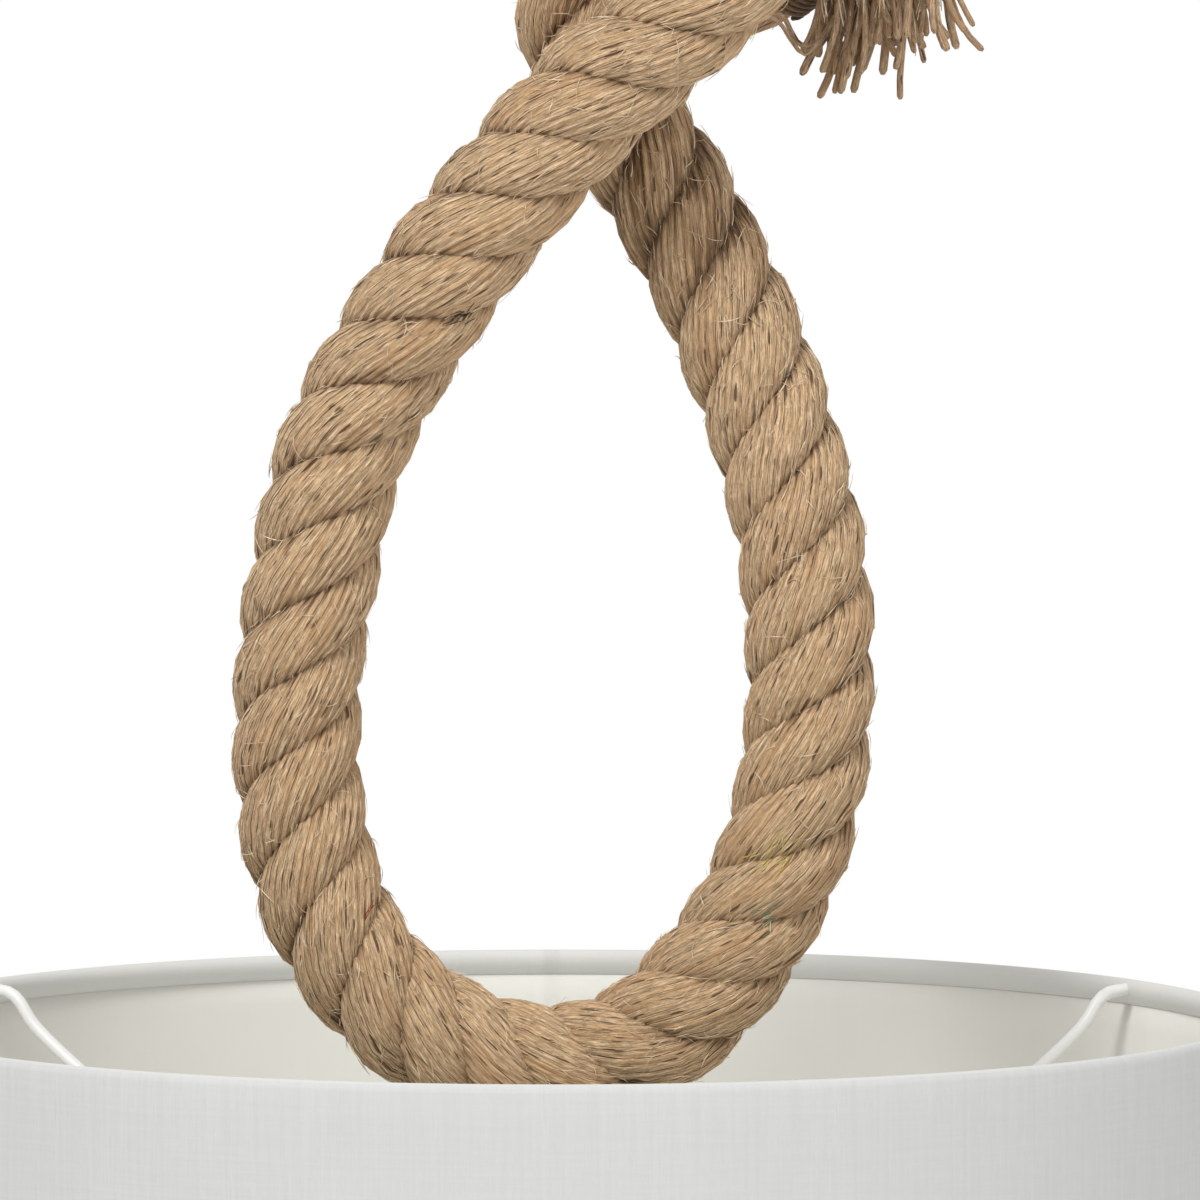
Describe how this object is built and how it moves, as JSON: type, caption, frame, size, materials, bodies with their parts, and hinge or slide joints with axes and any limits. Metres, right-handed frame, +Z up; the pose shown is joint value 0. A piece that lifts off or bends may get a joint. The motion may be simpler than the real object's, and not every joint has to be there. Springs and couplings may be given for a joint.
{
  "type": "hanging lantern",
  "caption": "Drum-shade pendant lantern hung in a knotted loop of thick laid rope with a frayed tail, from a ceiling plate, hook, shackle and swivel eye.",
  "frame": {"origin": "middle of the ceiling plate's top face, which lies on the ceiling", "axes": "+Z up; the rope's loop lies in the XZ plane and the lantern's front faces -Y"},
  "size_m": [0.42, 0.4209, 0.9066],
  "materials": {
    "blackened_steel": "satin blackened steel",
    "jute": "natural hairy jute, three strands laid right-handed",
    "twine": "waxed jute twine",
    "black_plastic": "moulded",
    "brass": "plain",
    "white_ceramic": "glazed",
    "nickel": "bright nickel plate",
    "opal_glass": "opal",
    "shade_linen": "off-white slubbed linen",
    "shade_liner": "white laminate backing",
    "white_wire": "white powder coat"
  },
  "bodies": {
    "ceiling": {"ceiling_plate": "blackened_steel", "plate_screw_1": "blackened_steel", "plate_screw_2": "blackened_steel", "plate_screw_3": "blackened_steel", "ceiling_hook": "blackened_steel", "hook_nut": "blackened_steel"},
    "shackle": {"shackle_bow": "blackened_steel", "shackle_pin": "blackened_steel", "shackle_nut": "blackened_steel"},
    "eye": {"swivel_eye": "blackened_steel", "swivel_washer": "blackened_steel", "swivel_nut": "blackened_steel"},
    "pendant": {"rope_cap": "blackened_steel", "cap_screw_1": "blackened_steel", "cap_screw_2": "blackened_steel", "rope": "jute", "tail_whipping": "twine", "frayed_tail": "jute", "rope_saddle": "blackened_steel", "saddle_screw_1": "blackened_steel", "saddle_screw_2": "blackened_steel", "saddle_screw_3": "blackened_steel", "saddle_screw_4": "blackened_steel", "hanger_nipple": "brass", "hanger_locknut": "blackened_steel", "holder_cap": "black_plastic", "cord_inlet": "black_plastic", "terminal_block": "white_ceramic", "centre_contact": "brass", "holder_body": "black_plastic", "threaded_shell": "brass"},
    "shade": {"spider_hub": "white_wire", "spider_arm_1": "white_wire", "spider_arm_2": "white_wire", "spider_arm_3": "white_wire", "top_ring": "white_wire", "bottom_ring": "white_wire", "shade_fabric": "shade_linen", "shade_liner": "shade_liner", "shade_seam": "shade_linen"},
    "ring": {"shade_ring": "black_plastic"},
    "lamp_tip": {"lamp_contact": "brass"},
    "lamp": {"lamp_cap": "nickel", "lamp_glass": "opal_glass"}
  },
  "joints": [
    {"name": "shackle_swing", "type": "hinge", "parent": "ceiling", "child": "shackle", "pos_m": [0, 0, -0.0738], "axis": [0, 1, 0], "range_deg": [-25, 25]},
    {"name": "lantern_tilt", "type": "hinge", "parent": "shackle", "child": "eye", "pos_m": [0, 0, -0.1015], "axis": [1, 0, 0], "range_deg": [-30, 30]},
    {"name": "lantern_swivel", "type": "hinge", "parent": "eye", "child": "pendant", "pos_m": [0, 0, -0.1235], "axis": [0, 0, 1], "continuous": true},
    {"name": "shade_drop", "type": "slide", "parent": "pendant", "child": "shade", "axis": [0, 0, -1], "range_m": [0, 0.018]},
    {"name": "ring_turn", "type": "hinge", "parent": "shade", "child": "ring", "pos_m": [0, 0, -0.7464], "axis": [0, 0, -1], "range_deg": [0, 2161]},
    {"name": "lamp_travel", "type": "slide", "parent": "pendant", "child": "lamp_tip", "axis": [0, 0, -1], "range_m": [0, 0.0144]},
    {"name": "lamp_turn", "type": "hinge", "parent": "lamp_tip", "child": "lamp", "pos_m": [0, 0, -0.7527], "axis": [0, 0, -1], "range_deg": [0, 1441]}
  ],
  "couplings": [
    {"joint": "ring_turn", "follows": "shade_drop", "rad_per_m": 2094.4},
    {"joint": "lamp_turn", "follows": "lamp_travel", "rad_per_m": 1745.3}
  ]
}
